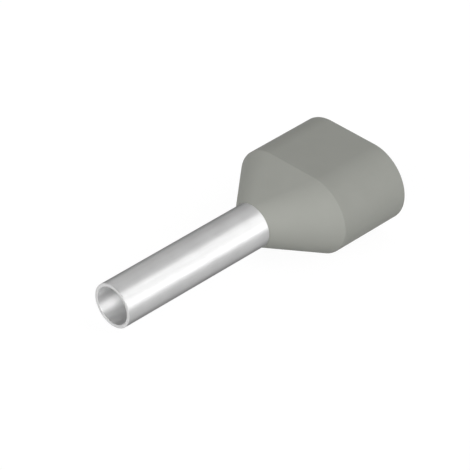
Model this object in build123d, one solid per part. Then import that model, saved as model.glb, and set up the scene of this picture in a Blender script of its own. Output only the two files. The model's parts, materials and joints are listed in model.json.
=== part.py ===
from build123d import *
import os
from math import asin, atan2, cos, degrees, sin

# A crimp ferrule that ends two stranded wires in one pin: a thin copper sleeve, flared at
# its inner end, held in a moulded plastic collar whose oval mouth takes both insulations.
# The ferrule is drawn along +X, from the sleeve's mouth at x = 0 to the wire entry, with
# the wires side by side along Y. Then it is laid down as it rests on a table.

# Sleeve, in millimetres
sleeve_bore_d = 1.7
sleeve_wall = 0.15
exposed_length = 7.93  # bare sleeve in front of the collar
mouth_round = 0.03  # rounding of the cut edges at the mouth
flare_length = 1.3  # stretch over which the inner end opens like a trumpet
flare_rise = 0.28  # how much the radius grows there

# Collar, in millimetres
grip_length = 0.3  # plastic round the straight sleeve, up to the flare
funnel_length = 1.0  # from the flare's rim to the full oval space
shoulder_lead = 0.2  # how far the outer shoulder lies in front of that space
body_length = 3.6  # straight oval stretch behind the shoulder
wire_pitch = 2.5  # between the centres of the two wires
rim_margin = 0.17  # from the flare's rim out to the height of the oval space
collar_wall = 0.35
front_lip = 0.01  # thickness of the plastic where the taper meets the sleeve
shoulder_round = 0.1
rear_round = 0.03  # outer edge of the rear face
entry_bevel = 0.12  # lead-in round the wire entry

# Sleeve sizes that follow
bore_r = sleeve_bore_d / 2
sleeve_r = bore_r + sleeve_wall
flare_r = sleeve_r + flare_rise
flare_arc_r = (flare_length**2 + flare_rise**2) / (2 * flare_rise)
flare_turn = asin(flare_length / flare_arc_r)

# Collar sizes that follow
space_half = flare_r + rim_margin
collar_half = space_half + collar_wall
collar_front_r = sleeve_r + front_lip

# Places along the axis
flare_x = exposed_length + grip_length
rim_x = flare_x + flare_length
space_x = rim_x + funnel_length
shoulder_x = space_x - shoulder_lead
entry_x = shoulder_x + body_length


def arc_point(radius, turn):
    """A point of the trumpet curve, in the XZ plane, at a turn from the straight sleeve."""
    centre_z = sleeve_r + flare_arc_r
    return (flare_x + radius * sin(turn), centre_z - radius * cos(turn))


def trumpet(radius):
    """The trumpet curve, from the straight sleeve to the flare's rim."""
    ends = arc_point(radius, 0), arc_point(radius, flare_turn)
    return ThreePointArc(ends[0], arc_point(radius, flare_turn / 2), ends[1])


def spun(lines):
    """The solid that a closed outline in the XZ plane sweeps round the axis."""
    outline = Plane.XZ * make_face(lines)
    return revolve(outline, Axis.X)


def sleeve():
    """The tube: an even wall all along, straight to the grip's end and then flared."""
    outside = trumpet(flare_arc_r)
    inside = trumpet(flare_arc_r + sleeve_wall)
    lines = [
        Line((0, sleeve_r), outside @ 0),
        outside,
        Line(outside @ 1, inside @ 1),
        inside,
        Line(inside @ 0, (0, bore_r)),
        Line((0, bore_r), (0, sleeve_r)),
    ]
    tube = spun(lines)
    mouth_edges = tube.edges().group_by(Axis.X)[0]
    return fillet(mouth_edges, mouth_round)


def oval(x, half_height, length):
    """A straight oval bar along X: two half rounds a wire pitch apart, and what joins them."""
    flat = SlotCenterToCenter(wire_pitch, 2 * half_height)
    section = Plane(origin=(x, 0, 0), x_dir=(0, 1, 0), z_dir=(1, 0, 0)) * flat
    return extrude(section, length)


def side_arc(x, side, reach, half_height):
    """Half a round at x, from top to bottom, that bulges to one side."""
    top = (x, side * reach, half_height)
    bulge = (x, side * (reach + half_height), 0)
    bottom = (x, side * reach, -half_height)
    return ThreePointArc(top, bulge, bottom)


def round_to_oval(x_round, radius, x_oval, half_height):
    """The taper from a round to an oval: half an oblique cone at each side, which runs
    from half the round to an end of the oval, and a flat triangle above and below."""
    reach = wire_pitch / 2
    rounds = [side_arc(x_round, side, 0, radius) for side in (1, -1)]
    ends = [side_arc(x_oval, side, reach, half_height) for side in (1, -1)]
    faces = [Face.make_surface_from_curves(r, e) for r, e in zip(rounds, ends)]
    rows = []
    for end in (0, 1):
        row = Line(ends[0] @ end, ends[1] @ end)
        sides = [Line(rounds[0] @ end, e @ end) for e in ends]
        faces.append(Face(Wire([row, *sides])))
        rows.append(row)
    faces.append(Face(Wire(rounds)))
    faces.append(Face(Wire([*ends, *rows])))
    return Solid(Shell(faces))


def sleeve_seat():
    """What the sleeve fills in the collar: the straight grip and the flare behind it."""
    curve = trumpet(flare_arc_r)
    lines = [
        Line((exposed_length, 0), (exposed_length, sleeve_r)),
        Line((exposed_length, sleeve_r), curve @ 0),
        curve,
        Line(curve @ 1, (rim_x, 0)),
        Line((rim_x, 0), (exposed_length, 0)),
    ]
    return spun(lines)


def collar():
    """The moulded collar, with a seat for the flared sleeve and a funnel that leads the
    strands of both wires into it."""
    taper = round_to_oval(exposed_length, collar_front_r, shoulder_x, collar_half)
    outside = taper + oval(shoulder_x, collar_half, body_length)
    near_shoulder = shoulder_x - shoulder_round, shoulder_x + shoulder_round
    outside = fillet(outside.edges().filter_by_position(Axis.X, *near_shoulder), shoulder_round)
    outside = fillet(outside.faces().sort_by(Axis.X)[-1].edges(), rear_round)
    funnel = round_to_oval(rim_x, flare_r, space_x, space_half)
    space = oval(space_x, space_half, entry_x - space_x)
    hollow = outside - sleeve_seat() - funnel - space
    entry_edges = hollow.faces().sort_by(Axis.X)[-1].inner_wires()[0].edges()
    return chamfer(entry_edges, entry_bevel)


def at_rest(piece):
    """Nose down on a table: the sleeve's mouth and the collar's shoulder touch it, and the
    origin lies on the table under the middle of the ferrule."""
    nose_down = degrees(atan2(collar_half - sleeve_r, shoulder_x))
    return Rot(0, -nose_down, 0) * piece


ferrule = {"crimp_sleeve": at_rest(sleeve()), "insulating_collar": at_rest(collar())}
box = Compound(list(ferrule.values())).bounding_box()
to_origin = Pos(-box.center().X, -box.center().Y, -box.min.Z)

os.makedirs("parts", exist_ok=True)
for name, piece in ferrule.items():
    export_step(to_origin * piece, f"parts/{name}.step")
    print(f"{name} volume {piece.volume:.3f} mm3")
collar_width, collar_height = wire_pitch + 2 * collar_half, 2 * collar_half
print(f"length {entry_x:.2f} mm, collar {collar_width:.2f} by {collar_height:.2f} mm")
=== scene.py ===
# %% [markdown]
# # A two-wire ferrule
#
# This lesson makes a small crimp ferrule: a thin tin-plated copper sleeve held in a grey
# plastic collar. The ferrule is 14 mm long. Its solids come first, as a fixed frame, and
# each one is then replaced by a finely modelled piece in exactly the same place. We work in
# metres, as Blender does, so a millimetre gets a name of its own.

# %% Load the frame
import json
from math import asin, atan2, cos, degrees, pi, radians, sin

import bmesh
import bpy
from mathutils import Matrix, Quaternion, Vector


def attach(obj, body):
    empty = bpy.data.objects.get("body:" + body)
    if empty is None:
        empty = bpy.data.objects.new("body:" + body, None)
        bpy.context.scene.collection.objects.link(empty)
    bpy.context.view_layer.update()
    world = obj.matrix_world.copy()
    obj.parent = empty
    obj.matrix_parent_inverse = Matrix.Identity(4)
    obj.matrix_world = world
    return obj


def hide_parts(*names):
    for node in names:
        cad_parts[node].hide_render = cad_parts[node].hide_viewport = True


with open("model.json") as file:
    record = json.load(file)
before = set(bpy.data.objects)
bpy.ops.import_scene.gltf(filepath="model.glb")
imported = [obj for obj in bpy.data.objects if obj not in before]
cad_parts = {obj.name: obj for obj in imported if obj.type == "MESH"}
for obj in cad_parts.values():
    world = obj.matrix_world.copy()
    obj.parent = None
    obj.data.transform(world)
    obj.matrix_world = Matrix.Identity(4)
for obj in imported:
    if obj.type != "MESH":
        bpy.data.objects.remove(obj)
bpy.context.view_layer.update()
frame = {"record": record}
mm = 0.001

# %% [markdown]
# ## Where the ferrule lies
#
# The ferrule rests nose down: the sleeve's mouth and the collar's shoulder touch the table.
# It is far easier to model a turned thing along an axis, so we draw it along +X from its
# mouth and lay it down at the end. The frame's record says where the bare sleeve is and
# which way it points, and that gives us both the tilt and the place of the mouth.

# %% Read the ferrule's axis
mounts = {mount["name"]: mount for mount in frame["record"]["mounts"]}
exposed_length = 7.93 * mm  # bare sleeve in front of the collar
axis = Vector(mounts["wire_entry"]["axis"])
mouth = Vector(mounts["sleeve_barrel"]["pos_m"]) - axis * exposed_length / 2
tilt = atan2(axis.z, axis.x)
print(f"mouth at {[round(c / mm, 3) for c in mouth]} mm, nose down by {degrees(tilt):.2f} degrees")

# %% [markdown]
# ## Helpers for working as by hand
#
# Blender's operators act on whatever is selected. Loading the frame leaves its solids
# selected, and a new primitive is selected all over, so every step first says what it
# works on. Here we pick vertices by place: `choose` selects the vertices for which a test
# on their coordinates holds, together with the edges and faces between them.

# %% Selecting and applying
round_steps = 192  # sides of a full round
hair = 1e-7  # closer than this is the same place


def start_clean():
    """Nothing selected, and no piece being worked on."""
    bpy.ops.object.select_all(action="DESELECT")
    bpy.context.view_layer.objects.active = None


def choose(piece, test):
    """In edit mode, select just the vertices that pass the test. Returns how many."""
    bpy.ops.mesh.select_mode(type="VERT")
    bpy.ops.mesh.select_all(action="DESELECT")
    mesh = bmesh.from_edit_mesh(piece.data)
    for vertex in mesh.verts:
        vertex.select = test(vertex.co)
    mesh.select_flush_mode()
    bmesh.update_edit_mesh(piece.data)
    return sum(vertex.select for vertex in mesh.verts)


def near(value, target):
    """Whether two lengths are the same, give or take a hair."""
    return abs(value - target) < hair


def apply_all(piece):
    """Apply every modifier, from the first to the last."""
    for modifier in list(piece.modifiers):
        bpy.ops.object.modifier_apply(modifier=modifier.name)


def lay_down(piece):
    """Turn the finished piece nose down and move it to the mouth, in its own mesh."""
    piece.rotation_euler = (0, -tilt, 0)
    piece.location = mouth
    bpy.ops.object.transform_apply(location=True, rotation=True, scale=True)


def report(piece):
    """Print the size of a finished mesh."""
    triangles = sum(len(face.vertices) - 2 for face in piece.data.polygons)
    sizes = [round(size / mm, 3) for size in piece.dimensions]
    print(f"{piece.name}: {triangles} triangles, {sizes} mm")


print("a round has", round_steps, "sides")

# %% [markdown]
# ## The sleeve
#
# The real sleeve is a length of thin seamless copper tube, cut square and then tin-plated.
# Its inner end is opened like a trumpet on a mandrel, so that the collar can't slip off and
# no strand catches on the edge. It could be spun from its outline in one go. We extrude a
# ring instead, because that follows the tube's own making: first the straight length, and
# then small steps along an arc in which the ring grows.
#
# The very first step is short. The mouth's edges will be rounded, and smooth shading blends
# a rounded edge into the face beside it, all the way to that face's other end. With a ring
# close behind the edge the blend ends there, and the rest of the tube is shaded true.

# %% Extrude the tube's outer skin
bore_r = 0.85 * mm
sleeve_wall = 0.15 * mm
sleeve_r = bore_r + sleeve_wall
grip_length = 0.3 * mm  # straight tube inside the collar
flare_x = exposed_length + grip_length
flare_length = 1.3 * mm
flare_rise = 0.28 * mm
flare_arc_r = (flare_length**2 + flare_rise**2) / (2 * flare_rise)
flare_turn = asin(flare_length / flare_arc_r)
flare_steps = 10
straight_steps = 14
mouth_support = 0.03 * mm  # the short first step


def trumpet(step):
    """Place along the axis and radius, at a step of the flare's arc."""
    turn = flare_turn * step / flare_steps
    return flare_x + flare_arc_r * sin(turn), sleeve_r + flare_arc_r * (1 - cos(turn))


def extrude_ring(length, growth):
    """Extrude the selected ring along the axis and let it grow by a factor."""
    bpy.ops.mesh.extrude_region_move(TRANSFORM_OT_translate={"value": (length, 0, 0)})
    bpy.ops.transform.resize(value=(1, growth, growth), center_override=(0, 0, 0))


start_clean()
bpy.ops.mesh.primitive_circle_add(
    vertices=round_steps, radius=sleeve_r, fill_type="NOTHING", rotation=(0, pi / 2, 0)
)
sleeve = bpy.context.object
sleeve.name = "tinned_sleeve"
bpy.ops.object.transform_apply(rotation=True)
bpy.ops.object.mode_set(mode="EDIT")
bpy.ops.mesh.select_all(action="SELECT")
extrude_ring(mouth_support, 1)
for step in range(straight_steps):
    extrude_ring((flare_x - mouth_support) / straight_steps, 1)
for step in range(flare_steps):
    (x, radius), (next_x, next_radius) = trumpet(step), trumpet(step + 1)
    extrude_ring(next_x - x, next_radius / radius)
bpy.ops.object.mode_set(mode="OBJECT")
report(sleeve)

# %% [markdown]
# ## The sleeve's wall and its cut edges
#
# Solidify gives the skin its wall. It works inwards and evenly, so the rim of the flare
# stays square to the wall, as on a real flared tube. Cutting and plating leave the mouth's
# two edges slightly round, which is what catches the light there, so we bevel them.
#
# Solidify goes by the faces' normals, and an open tube has no inside that Blender could
# find. So we look at one face, and turn them all round if it doesn't face away from the axis.

# %% Thicken the wall and round its edges
mouth_round = 0.015 * mm
round_faces = 4  # side by side over a rounded edge


def round_off(size):
    """In edit mode, round the selected edges."""
    bpy.ops.mesh.bevel(offset=size, offset_type="OFFSET", segments=round_faces, affect="EDGES")


face = sleeve.data.polygons[0]
outward = face.normal.y * face.center.y + face.normal.z * face.center.z > 0
print("the skin faces outwards:", outward)
if not outward:
    bpy.ops.object.mode_set(mode="EDIT")
    bpy.ops.mesh.select_all(action="SELECT")
    bpy.ops.mesh.flip_normals()
    bpy.ops.object.mode_set(mode="OBJECT")

wall = sleeve.modifiers.new("wall", "SOLIDIFY")
wall.thickness = sleeve_wall
wall.offset = -1
wall.use_even_offset = True
apply_all(sleeve)

bpy.ops.object.mode_set(mode="EDIT")
found = choose(sleeve, lambda place: near(place.x, 0))
print("vertices round the mouth:", found)
round_off(mouth_round)
bpy.ops.object.mode_set(mode="OBJECT")

# %% [markdown]
# ## Smooth shading
#
# The tube should look round, yet its flared rim is square. `shade_smooth_by_angle` shades
# smoothly over an edge where two faces meet at a small angle, and keeps the edge sharp where
# they meet at more than the angle that it is given. Then the sleeve is laid down.

# %% Shade the sleeve and lay it down
sharp_angle = radians(35)
bpy.ops.object.shade_smooth_by_angle(angle=sharp_angle)
lay_down(sleeve)
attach(sleeve, "root")
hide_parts("crimp_sleeve")
report(sleeve)

# %% [markdown]
# ## The collar: half an oval
#
# The collar is moulded in one piece. Its straight part is an oval that holds two insulated
# wires side by side: two half rounds, a wire's pitch apart, joined by flats. Its two sides
# mirror each other, so we draw only one half of that oval: a circle loses the side towards
# the middle, and its two ends are drawn out to there.

# %% Draw the half oval
wire_pitch = 2.5 * mm  # between the centres of the two wires
rim_margin = 0.17 * mm  # from the flare's rim out to the height of the wires' space
collar_wall = 0.35 * mm
funnel_length = 1.0 * mm
shoulder_lead = 0.2 * mm  # how far the shoulder lies in front of the wires' space
body_length = 3.6 * mm

reach = wire_pitch / 2
flare_r = sleeve_r + flare_rise
space_half = flare_r + rim_margin
collar_half = space_half + collar_wall
rim_x = flare_x + flare_length
space_x = rim_x + funnel_length
shoulder_x = space_x - shoulder_lead
entry_x = shoulder_x + body_length

start_clean()
bpy.ops.mesh.primitive_circle_add(
    vertices=round_steps,
    radius=collar_half,
    fill_type="NOTHING",
    location=(shoulder_x, reach, 0),
    rotation=(0, pi / 2, 0),
)
collar = bpy.context.object
collar.name = "moulded_collar"
bpy.ops.object.transform_apply(location=True, rotation=True)
bpy.ops.object.mode_set(mode="EDIT")
choose(collar, lambda place: place.y < reach - hair)
bpy.ops.mesh.delete(type="VERT")
ends = choose(collar, lambda place: near(place.y, reach))
bpy.ops.mesh.extrude_region_move(TRANSFORM_OT_translate={"value": (0, -reach, 0)})
print("ends drawn out to the middle:", ends)

# %% [markdown]
# ## The collar: a skin of rings
#
# A ring is now told by three values: its place along the axis, how far its arc's centre
# stands from the middle, and its arc's radius. `draw_to` extrudes the selected ring and
# gives the copy new values. The arc moves and scales round its own centre, and the two
# points in the middle only rise or sink, so the flats stay flat. When the arc's centre
# moves to the middle, the oval becomes a round: the arc sweeps half a slanting cone, and
# each flat narrows to a triangle. That is how the real taper runs from the two wires to
# the one sleeve.

# %% A tool that draws ring after ring
def draw_to(ring, x, centre, radius):
    """Extrude the selected half ring and shape the copy. Returns the new ring's values."""
    old_x, old_centre, old_radius = ring
    growth = radius / old_radius
    bpy.ops.mesh.extrude_region_move(TRANSFORM_OT_translate={"value": (x - old_x, 0, 0)})
    mesh = bmesh.from_edit_mesh(collar.data)
    mesh.verts.index_update()
    fresh = {vertex.index for vertex in mesh.verts if vertex.select}
    middle = {vertex.index for vertex in mesh.verts if vertex.select and near(vertex.co.y, 0)}
    pick(mesh, middle)
    bpy.ops.transform.resize(value=(1, 1, growth), center_override=(x, 0, 0))
    pick(mesh, fresh - middle)
    bpy.ops.transform.resize(value=(1, growth, growth), center_override=(x, old_centre, 0))
    bpy.ops.transform.translate(value=(0, centre - old_centre, 0))
    pick(mesh, fresh)
    return x, centre, radius


def pick(mesh, indices):
    """Select the vertices with these numbers, and the edges between them."""
    bpy.ops.mesh.select_all(action="DESELECT")
    mesh.verts.ensure_lookup_table()
    for i in indices:
        mesh.verts[i].select = True
    mesh.select_flush_mode()
    bmesh.update_edit_mesh(collar.data)


shoulder = shoulder_x, reach, collar_half
print("shoulder ring in mm:", [round(value / mm, 3) for value in shoulder])

# %% [markdown]
# ## The collar: out to the rear and in again
#
# From the shoulder the skin runs straight back to the rear face, turns in over a small
# lead-in bevel that guides the wires, and runs forward along the space for them. There it
# narrows in a funnel to the sleeve's flared rim, so that no strand can miss the bore. The
# two edges that will be rounded get a supporting ring on each side, as the mouth did.

# %% Draw the rear half of the skin
entry_bevel = 0.12 * mm
support = 0.05 * mm  # from an edge to its supporting ring
body_steps = 8
choose(collar, lambda place: near(place.x, shoulder_x))
ring = shoulder
for step in range(body_steps + 1):
    x = shoulder_x + support + (entry_x - shoulder_x - 2 * support) * step / body_steps
    ring = draw_to(ring, x, reach, collar_half)
ring = draw_to(ring, entry_x, reach, collar_half)
ring = draw_to(ring, entry_x, reach, collar_half - support)
ring = draw_to(ring, entry_x, reach, space_half + entry_bevel)
ring = draw_to(ring, entry_x - entry_bevel, reach, space_half)
for step in range(1, body_steps + 1):
    x = entry_x - entry_bevel + (space_x - entry_x + entry_bevel) * step / body_steps
    ring = draw_to(ring, x, reach, space_half)
ring = draw_to(ring, rim_x, 0, flare_r)
print("the funnel ends at", round(rim_x / mm, 3), "mm")

# %% [markdown]
# ## The collar: down the taper and into the seat
#
# The other way from the shoulder, the skin tapers to a thin lip on the sleeve and turns in
# under it. From there it follows the sleeve's own rings: the straight grip and the trumpet.
# It ends on the funnel's last ring, and merging what lies in the same place closes the skin.

# %% Draw the front half and close it
front_lip = 0.01 * mm
lip_r = sleeve_r + front_lip
down = support / (shoulder_x - exposed_length)  # the part of the taper up to its support
support_r = collar_half + (lip_r - collar_half) * down
choose(collar, lambda place: near(place.x, shoulder_x))
ring = draw_to(shoulder, shoulder_x - support, reach * (1 - down), support_r)
ring = draw_to(ring, exposed_length, 0, lip_r)
ring = draw_to(ring, exposed_length, 0, sleeve_r)
for step in range(flare_steps + 1):
    x, radius = trumpet(step)
    ring = draw_to(ring, x, 0, radius)
bpy.ops.mesh.select_all(action="SELECT")
bpy.ops.mesh.remove_doubles(threshold=hair)
bpy.ops.object.mode_set(mode="OBJECT")
report(collar)

# %% [markdown]
# ## The collar: the other half, and its edges
#
# Mirror makes the other half and joins the two along the middle. The mould's edges are
# crisp but never knife-sharp: the shoulder and the rear edge get a small round each. They
# are found by place, once the collar is whole.

# %% Mirror and bevel the collar
shoulder_round = 0.02 * mm
rear_round = 0.03 * mm

mirror = collar.modifiers.new("other half", "MIRROR")
mirror.use_axis = (False, True, False)
mirror.use_clip = True
mirror.merge_threshold = hair
apply_all(collar)

bpy.ops.object.mode_set(mode="EDIT")
bpy.ops.mesh.select_all(action="SELECT")
bpy.ops.mesh.remove_doubles(threshold=hair)
bpy.ops.mesh.normals_make_consistent(inside=False)


def out_of_oval(place):
    """How far a point lies from the line between the two wires' centres."""
    return Vector((max(abs(place.y) - reach, 0), place.z)).length


choose(collar, lambda place: near(place.x, shoulder_x))
round_off(shoulder_round)
choose(collar, lambda place: near(place.x, entry_x) and near(out_of_oval(place), collar_half))
round_off(rear_round)
bpy.ops.object.mode_set(mode="OBJECT")

bpy.ops.object.shade_smooth_by_angle(angle=sharp_angle)
lay_down(collar)
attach(collar, "root")
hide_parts("insulating_collar")
report(collar)

# %% [markdown]
# ## Grain, for both materials
#
# No real surface has one even colour and gloss. Both of ours vary a little, at several
# sizes, so we build the variation once, as a node group: noise of a given feature size,
# spread between a low and a high value. Each material then places it with its own values.
# The two small helpers keep the node code short: `put` adds a node and fills in its
# inputs, and `wire` joins two sockets.

# %% The grain group
def put(tree, kind, inputs=None, **settings):
    """Add a node, with its settings and the values of its inputs."""
    node = tree.nodes.new(kind)
    for name, value in settings.items():
        setattr(node, name, value)
    for name, value in (inputs or {}).items():
        node.inputs[name].default_value = value
    return node


def wire(tree, source, target):
    """Join an output to an input."""
    tree.links.new(source, target)


def make_grain():
    """A group that spreads noise of a feature size between a low and a high value."""
    group = bpy.data.node_groups.new("grain", "ShaderNodeTree")
    group.interface.new_socket("Place", in_out="INPUT", socket_type="NodeSocketVector")
    for name in ("Size", "Low", "High"):
        group.interface.new_socket(name, in_out="INPUT", socket_type="NodeSocketFloat")
    group.interface.new_socket("Value", in_out="OUTPUT", socket_type="NodeSocketFloat")
    given = put(group, "NodeGroupInput")
    result = put(group, "NodeGroupOutput")
    scale = put(group, "ShaderNodeMath", {0: 1.0}, operation="DIVIDE")
    noise = put(group, "ShaderNodeTexNoise", {"Detail": 3.0, "Roughness": 0.55})
    usual = {"From Min": 0.3, "From Max": 0.7}  # the noise seldom goes beyond these
    spread = put(group, "ShaderNodeMapRange", usual)
    wire(group, given.outputs["Size"], scale.inputs[1])
    wire(group, given.outputs["Place"], noise.inputs["Vector"])
    wire(group, scale.outputs[0], noise.inputs["Scale"])
    wire(group, noise.outputs["Fac"], spread.inputs["Value"])
    wire(group, given.outputs["Low"], spread.inputs["To Min"])
    wire(group, given.outputs["High"], spread.inputs["To Max"])
    wire(group, spread.outputs["Result"], result.inputs["Value"])
    return group


grain = make_grain()
print("inputs of the grain group:", [item.name for item in grain.interface.items_tree])

# %% [markdown]
# ## Coordinates along the ferrule
#
# Drawing lines run along the tube, so the pattern has to know the ferrule's axis. Object
# coordinates measure from the table, and a Mapping node turns and moves them back, so that
# X runs along the sleeve from its mouth. A second Mapping can then stretch a pattern.

# %% Materials start the same way
# A Mix node repeats its sockets for each kind of value, so they go by number here.
colour_a, colour_b, colour_out = 6, 7, 2
number_a, number_b, number_out = 2, 3, 0
over = Vector((-axis.z, 0, axis.x))  # square to the ferrule's axis, upwards


def start_material(name):
    """A new material, its shader, and the ferrule's own coordinates."""
    material = bpy.data.materials.new(name)
    material.use_nodes = True
    tree = material.node_tree
    unturned = Vector((axis.dot(mouth), 0, over.dot(mouth)))  # the mouth, turned back
    coordinates = put(tree, "ShaderNodeTexCoord")
    turn_back = {"Location": -unturned, "Rotation": (0, tilt, 0)}
    mapping = put(tree, "ShaderNodeMapping", turn_back, vector_type="POINT")
    wire(tree, coordinates.outputs["Object"], mapping.inputs["Vector"])
    return material, tree.nodes["Principled BSDF"], mapping.outputs["Vector"]


def add_grain(tree, place, size, low, high):
    """Place the grain group with its own values, and return what it puts out."""
    group = put(tree, "ShaderNodeGroup", node_tree=grain)
    wire(tree, place, group.inputs["Place"])
    for name, value in (("Size", size), ("Low", low), ("High", high)):
        group.inputs[name].default_value = value
    return group.outputs["Value"]


def add_colour(tree, mask, dark, pale):
    """Blend two colours by a mask that runs from 0 to 1."""
    blend = put(tree, "ShaderNodeMix", data_type="RGBA")
    wire(tree, mask, blend.inputs["Factor"])
    blend.inputs[colour_a].default_value = (*dark, 1)
    blend.inputs[colour_b].default_value = (*pale, 1)
    return blend.outputs[colour_out]


def add_bump(tree, shader, height, depth):
    """Raise the surface by a height that runs from 0 to 1, to a depth in metres."""
    bump = put(tree, "ShaderNodeBump", {"Strength": 1.0, "Distance": depth})
    wire(tree, height, bump.inputs["Height"])
    wire(tree, bump.outputs["Normal"], shader.inputs["Normal"])


print("the ferrule's axis is turned back by", round(degrees(tilt), 2), "degrees")

# %% [markdown]
# ## Tin plate: satin outside, matt at the cut
#
# Electroplated tin is a soft satin silver. Drawing and tumbling leave the tube's outside
# smooth, so it mirrors the room in broad bands. The cut at its mouth is rougher, and shows
# one even grey from every side. The cut could have a material of its own. A mask is as easy
# and makes a soft edge between the two: a normal that points away from the axis is outside,
# and one that points along it is on the cut.

# %% Where the plating is matt
def add_matt_mask(tree, place):
    """A mask of 1 on the cut edge, and 0 outside."""
    across = put(tree, "ShaderNodeVectorMath", {1: (0, 1, 1)}, operation="MULTIPLY")
    radial = put(tree, "ShaderNodeVectorMath", operation="NORMALIZE")
    outward = put(tree, "ShaderNodeVectorMath", operation="DOT_PRODUCT")
    normal = put(tree, "ShaderNodeTexCoord").outputs["Normal"]
    fade = {"From Min": 0.2, "From Max": 0.7, "To Min": 1, "To Max": 0}
    edge = put(tree, "ShaderNodeMapRange", fade)
    wire(tree, place, across.inputs[0])
    wire(tree, across.outputs["Vector"], radial.inputs[0])
    wire(tree, radial.outputs["Vector"], outward.inputs[0])
    wire(tree, normal, outward.inputs[1])
    wire(tree, outward.outputs["Value"], edge.inputs["Value"])
    return edge.outputs["Result"]


def add_blend(tree, mask, at_none, at_full):
    """Blend two values by a mask. Either may be a number or what a node puts out."""
    blend = put(tree, "ShaderNodeMix", data_type="FLOAT")
    wire(tree, mask, blend.inputs["Factor"])
    for number, value in ((number_a, at_none), (number_b, at_full)):
        if isinstance(value, (int, float)):
            blend.inputs[number].default_value = value
        else:
            wire(tree, value, blend.inputs[number])
    return blend.outputs[number_out]


tin, tin_shader, tin_place = start_material("tin_plate")
tree = tin.node_tree
matt = add_matt_mask(tree, tin_place)
print("the tin plate has", len(tree.nodes), "nodes so far")

# %% [markdown]
# ## Tin plate: colour, gloss and drawing lines
#
# Drawing the tube leaves faint lines along it, which show only close up. Dividing the
# coordinate along the axis by fifty draws round grain out into such lines. On a metal the
# Specular Tint colours reflections at a grazing angle. A dark grey there paints shade on the
# tube's two outlines, so they stay dark.

# %% The sleeve's outside
satin_greys = (0.495, 0.495, 0.495), (0.53, 0.53, 0.53)
cut_greys = (0.437, 0.437, 0.437), (0.473, 0.473, 0.473)
satin_roughness = 0.38, 0.42
cut_roughness = 0.6
# painted shade: this dark tint darkens reflections at a grazing angle, on the tube's outlines and
# beside the bore's streak
painted_grazing_shade = (0.06, 0.06, 0.06, 1)
cloud_size = 0.8 * mm
gloss_width = 0.04 * mm
line_width, line_depth = 0.03 * mm, 0.0004 * mm
drawn_out = 50  # how many times longer than wide

lengthwise = {"Scale": (1 / drawn_out, 1, 1)}
stretch = put(tree, "ShaderNodeMapping", lengthwise, vector_type="POINT")
wire(tree, tin_place, stretch.inputs["Vector"])
drawn = stretch.outputs["Vector"]

cloud = add_grain(tree, tin_place, cloud_size, 0, 1)
smooth = add_colour(tree, cloud, *satin_greys)
dull = add_colour(tree, cloud, *cut_greys)
plating = put(tree, "ShaderNodeMix", data_type="RGBA")
wire(tree, matt, plating.inputs["Factor"])
wire(tree, smooth, plating.inputs[colour_a])
wire(tree, dull, plating.inputs[colour_b])
wire(tree, plating.outputs[colour_out], tin_shader.inputs["Base Color"])

satin = add_grain(tree, drawn, gloss_width, *satin_roughness)
wire(tree, add_blend(tree, matt, satin, cut_roughness), tin_shader.inputs["Roughness"])
wire(tree, add_blend(tree, matt, 1.0, 0.0), tin_shader.inputs["Metallic"])
# the dark grazing tint paints shade on the tube's two outlines
tin_shader.inputs["Specular Tint"].default_value = painted_grazing_shade
lines = add_grain(tree, drawn, line_width, 0, 1)
add_bump(tree, tin_shader, lines, line_depth)

sleeve.data.materials.clear()
sleeve.data.materials.append(tin)
print("the outside's metal and its cut edge have", len(tree.nodes), "nodes")

# %% [markdown]
# ## Tin plate: the streak in the bore
#
# The bore keeps fine marks that run round it, from the tool that sized the tube. They are
# far too fine to model, yet they shape its gloss: a highlight is spread along the bore and
# stays narrow across it, so a lamp becomes a soft streak that runs deep into the tube. One
# roughness can't give that. The shader's Anisotropic value can: it makes the gloss wider one
# way than the other. The Tangent node gives the direction round the X axis, and a quarter
# turn sets the wide way along the bore. The bore's tin is painted paler than the outside's,
# as painted light in the bore, and the same dark grazing tint as outside paints shade beside
# the streak. The bore's faces are those that face the axis.

# %% The sleeve's bore
# the tin's own grey, made paler than the outside's as painted light in the bore
bore_greys_with_painted_light = (0.74, 0.74, 0.74), (0.78, 0.78, 0.78)
bore_roughness = 0.57
bore_spread = 0.88  # how much wider the gloss is one way than the other, from 0 to 1
quarter_turn = 0.25

bore_tin, bore_shader, bore_place = start_material("bore_plating")
tree = bore_tin.node_tree
bore_cloud = add_grain(tree, bore_place, cloud_size, 0, 1)
bore_colour = add_colour(tree, bore_cloud, *bore_greys_with_painted_light)
wire(tree, bore_colour, bore_shader.inputs["Base Color"])
bore_shader.inputs["Metallic"].default_value = 1.0
bore_shader.inputs["Roughness"].default_value = bore_roughness
bore_shader.inputs["Anisotropic"].default_value = bore_spread
bore_shader.inputs["Anisotropic Rotation"].default_value = quarter_turn
# the dark grazing tint paints shade in the bore beside the streak
bore_shader.inputs["Specular Tint"].default_value = painted_grazing_shade
round_axis = put(tree, "ShaderNodeTangent", direction_type="RADIAL", axis="X")
wire(tree, round_axis.outputs["Tangent"], bore_shader.inputs["Tangent"])

sleeve.data.materials.append(bore_tin)
facing_axis = -0.7  # the cosine between a face's normal and the way out from the axis
inside = 0
for face in sleeve.data.polygons:
    spot = face.center - mouth
    way_out = (spot - axis * spot.dot(axis)).normalized()
    if face.normal.dot(way_out) < facing_axis:
        face.material_index = 1
        inside += 1
print("faces in the bore:", inside, "of", len(sleeve.data.polygons))

# %% [markdown]
# ## Grey plastic
#
# The collar is polypropylene, moulded in a fine spark-eroded mould that leaves it matt.
# Its grain is about 0.05 mm, far too small to see from a step away, but it spreads the
# highlights. The grey pigment is mixed in almost evenly.

# %% The collar's material
plastic_greys = (0.234, 0.238, 0.218), (0.242, 0.246, 0.226)
plastic_roughness = 0.55, 0.62
plastic_shine = 0.05  # a tenth of what the shader gives a smooth plastic
pigment_size, sheen_size = 1.2 * mm, 0.3 * mm
pit_size, pit_depth = 0.05 * mm, 0.001 * mm

plastic, plastic_shader, plastic_place = start_material("grey_plastic")
tree = plastic.node_tree

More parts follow.
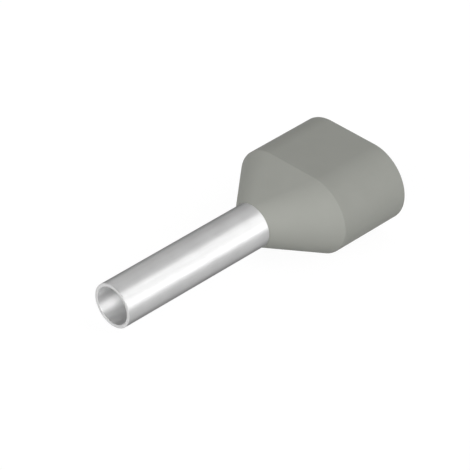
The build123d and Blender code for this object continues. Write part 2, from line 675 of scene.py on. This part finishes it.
pigment = add_grain(tree, plastic_place, pigment_size, 0, 1)
plastic_colour = add_colour(tree, pigment, *plastic_greys)
wire(tree, plastic_colour, plastic_shader.inputs["Base Color"])
sheen = add_grain(tree, plastic_place, sheen_size, *plastic_roughness)
wire(tree, sheen, plastic_shader.inputs["Roughness"])
plastic_shader.inputs["Specular IOR Level"].default_value = plastic_shine
pits = add_grain(tree, plastic_place, pit_size, 0, 1)
add_bump(tree, plastic_shader, pits, pit_depth)

collar.data.materials.clear()
collar.data.materials.append(plastic)
print("the plastic has", len(tree.nodes), "nodes")

# %% [markdown]
# ## A white floor that keeps the shadow
#
# The ferrule lies on a white floor. A floor that only reflects the lamps comes out grey, and
# more light on it would burn out the metal. So ours blends two shaders. Matt paper is lit by the
# lamps and takes the ferrule's soft shadow, and an even glow brings the blend up to a pure
# white. The Light Path node gives the glow to rays that come from the camera or off something
# glossy or clear. The sleeve then mirrors a white floor too, yet the light that the floor
# throws up at the collar is only that of the paper. Light paper would wash out the collar's
# underside, so ours is a mid grey that nobody sees as such.

# %% Lay the floor
glow_share = 0.85
glow_strength = 1.116  # a little over 1, to make up for the paper's share
floor_size = 1.0
paper_grey = (0.41, 0.41, 0.41, 1)

start_clean()
bpy.ops.mesh.primitive_plane_add(size=floor_size)
floor = bpy.context.object
floor.name = "floor"

paper = bpy.data.materials.new("white_paper")
paper.use_nodes = True
tree = paper.node_tree
tree.nodes.clear()
lit = put(tree, "ShaderNodeBsdfDiffuse", {"Color": paper_grey})
glow = put(tree, "ShaderNodeEmission", {"Strength": glow_strength})
path = put(tree, "ShaderNodeLightPath")
either = put(tree, "ShaderNodeMath", operation="ADD")
any_of_three = put(tree, "ShaderNodeMath", operation="ADD", use_clamp=True)
share = put(tree, "ShaderNodeMath", {1: glow_share}, operation="MULTIPLY")
blend = put(tree, "ShaderNodeMixShader")
surface = put(tree, "ShaderNodeOutputMaterial")
wire(tree, path.outputs["Is Camera Ray"], either.inputs[0])
wire(tree, path.outputs["Is Glossy Ray"], either.inputs[1])
wire(tree, either.outputs[0], any_of_three.inputs[0])
wire(tree, path.outputs["Is Transmission Ray"], any_of_three.inputs[1])
wire(tree, any_of_three.outputs[0], share.inputs[0])
wire(tree, share.outputs[0], blend.inputs[0])
wire(tree, lit.outputs[0], blend.inputs[1])
wire(tree, glow.outputs[0], blend.inputs[2])
wire(tree, blend.outputs[0], surface.inputs["Surface"])
floor.data.materials.append(paper)
print("the floor is", floor_size, "m wide")

# %% [markdown]
# ## The studio around it
#
# Beyond the floor is a plain studio: low white walls that meet the floor without an edge, and
# a dim ceiling that keeps the shadows from going black. The walls are just high enough for a
# camera that looks level. In a world shader, Generated coordinates are the direction in which
# a ray leaves, so their Z tells how steeply it rises.

# %% Light the world
wall_top, ceiling_start = 0.07, 0.12  # as Z of a direction, which is the sine of its rise
walls, ceiling = 1.0, 0.22

world = bpy.data.worlds.new("studio")
bpy.context.scene.world = world
world.use_nodes = True
tree = world.node_tree
room = tree.nodes["Background"]
room.inputs["Color"].default_value = (1, 1, 1, 1)
rise = put(tree, "ShaderNodeSeparateXYZ")
fade = {"From Min": wall_top, "From Max": ceiling_start, "To Min": walls, "To Max": ceiling}
strength = put(tree, "ShaderNodeMapRange", fade)
wire(tree, put(tree, "ShaderNodeTexCoord").outputs["Generated"], rise.inputs[0])
wire(tree, rise.outputs["Z"], strength.inputs["Value"])
wire(tree, strength.outputs["Result"], room.inputs["Strength"])
print("the ceiling gives", ceiling / walls, "of the walls' light")

# %% [markdown]
# ## Softboxes round the ferrule
#
# Shiny metal shows what it mirrors, so lighting a tube means placing its reflections. Two
# angles say where a lamp stands: how far it is turned along the ferrule, towards the wire
# entry, and how far round the ferrule it is, from the side that faces us up and over. Seen
# from the front left, the sleeve mirrors what stands behind it, at about 35 degrees along.
# A tall softbox there makes the long white band. A small one at its foot sharpens the band's
# lower edge, and a weak one over it gives the soft grey beside it. The collar and the bore
# want light from our own side: a key beside the camera and one high in front of the nose. A
# last one, at the back, lifts the far side.

# %% Place the lamps
lamp_distance = 0.45
mirrored = 36  # degrees along, where the sleeve shows us what stands behind it
across = Vector((0, -1, 0))  # to the side that faces us


def softbox(name, along, around, width, height, radiance):
    """A rectangular lamp that looks at the ferrule. Its height runs round the ferrule.
    Angles are in degrees, sizes in metres, and radiance is how bright its face looks."""
    data = bpy.data.lights.new(name, "AREA")
    data.shape = "RECTANGLE"
    data.size, data.size_y = width, height
    data.energy = radiance * pi * width * height  # in watts
    lamp = bpy.data.objects.new(name, data)
    bpy.context.scene.collection.objects.link(lamp)
    round_it = across * cos(radians(around)) + over * sin(radians(around))
    outwards = axis * sin(radians(along)) + round_it * cos(radians(along))
    upwards = axis.cross(outwards).normalized()
    turned = Matrix((upwards.cross(outwards), upwards, outwards)).transposed()
    lamp.rotation_euler = turned.to_euler()
    lamp.location = outwards * lamp_distance
    return lamp


softbox("side", mirrored, 27, 0.20, 0.72, 2.7)
softbox("side_low", mirrored, 0, 0.20, 0.25, 1.05)
softbox("top", mirrored, 97, 0.20, 0.50, 1.1)
softbox("back", 15, 150, 0.25, 0.30, 1.85)
softbox("key", -37, 31, 0.25, 0.32, 7.2)
softbox("nose", -70, 110, 0.25, 0.25, 6.0)
lamps = [lamp for lamp in bpy.data.objects if lamp.type == "LIGHT"]
print("lamps and watts:", {lamp.name: round(lamp.data.energy, 2) for lamp in lamps})

# %% [markdown]
# ## The camera
#
# Catalogue pictures of small parts look almost parallel: the far end is drawn nearly as large
# as the near one. That comes from a long lens far away, so we stand ten times the ferrule's
# length from it. The camera's place is told by two angles, and `aim` is the point that lands
# in the middle of the picture. `to_track_quat` looks along a direction with the horizon
# level, and a small turn about the camera's own axis then tips it.

# %% Camera
view_azimuth = radians(-46.937)
view_elevation = radians(32.319)
camera_roll = radians(3.726)
camera_distance = 139.11 * mm
aim = Vector((-0.160, -0.090, 1.619)) * mm
focal_length, sensor_width = 259.06, 36  # in millimetres, as Blender's cameras want them

camera_data = bpy.data.cameras.new("camera")
camera_data.lens = focal_length
camera_data.sensor_width = sensor_width
camera_data.clip_start = 10 * mm
camera = bpy.data.objects.new("camera", camera_data)
bpy.context.scene.collection.objects.link(camera)
out = cos(view_elevation)
to_camera = Vector((sin(view_azimuth) * out, -cos(view_azimuth) * out, sin(view_elevation)))
camera.rotation_mode = "QUATERNION"
upright = (-to_camera).to_track_quat("-Z", "Y")
camera.rotation_quaternion = upright @ Quaternion((0, 0, 1), camera_roll)
camera.location = aim + to_camera * camera_distance
bpy.context.scene.camera = camera
bpy.context.scene.view_settings.view_transform = "Standard"
print("camera at", [round(c / mm, 2) for c in camera.location], "mm")
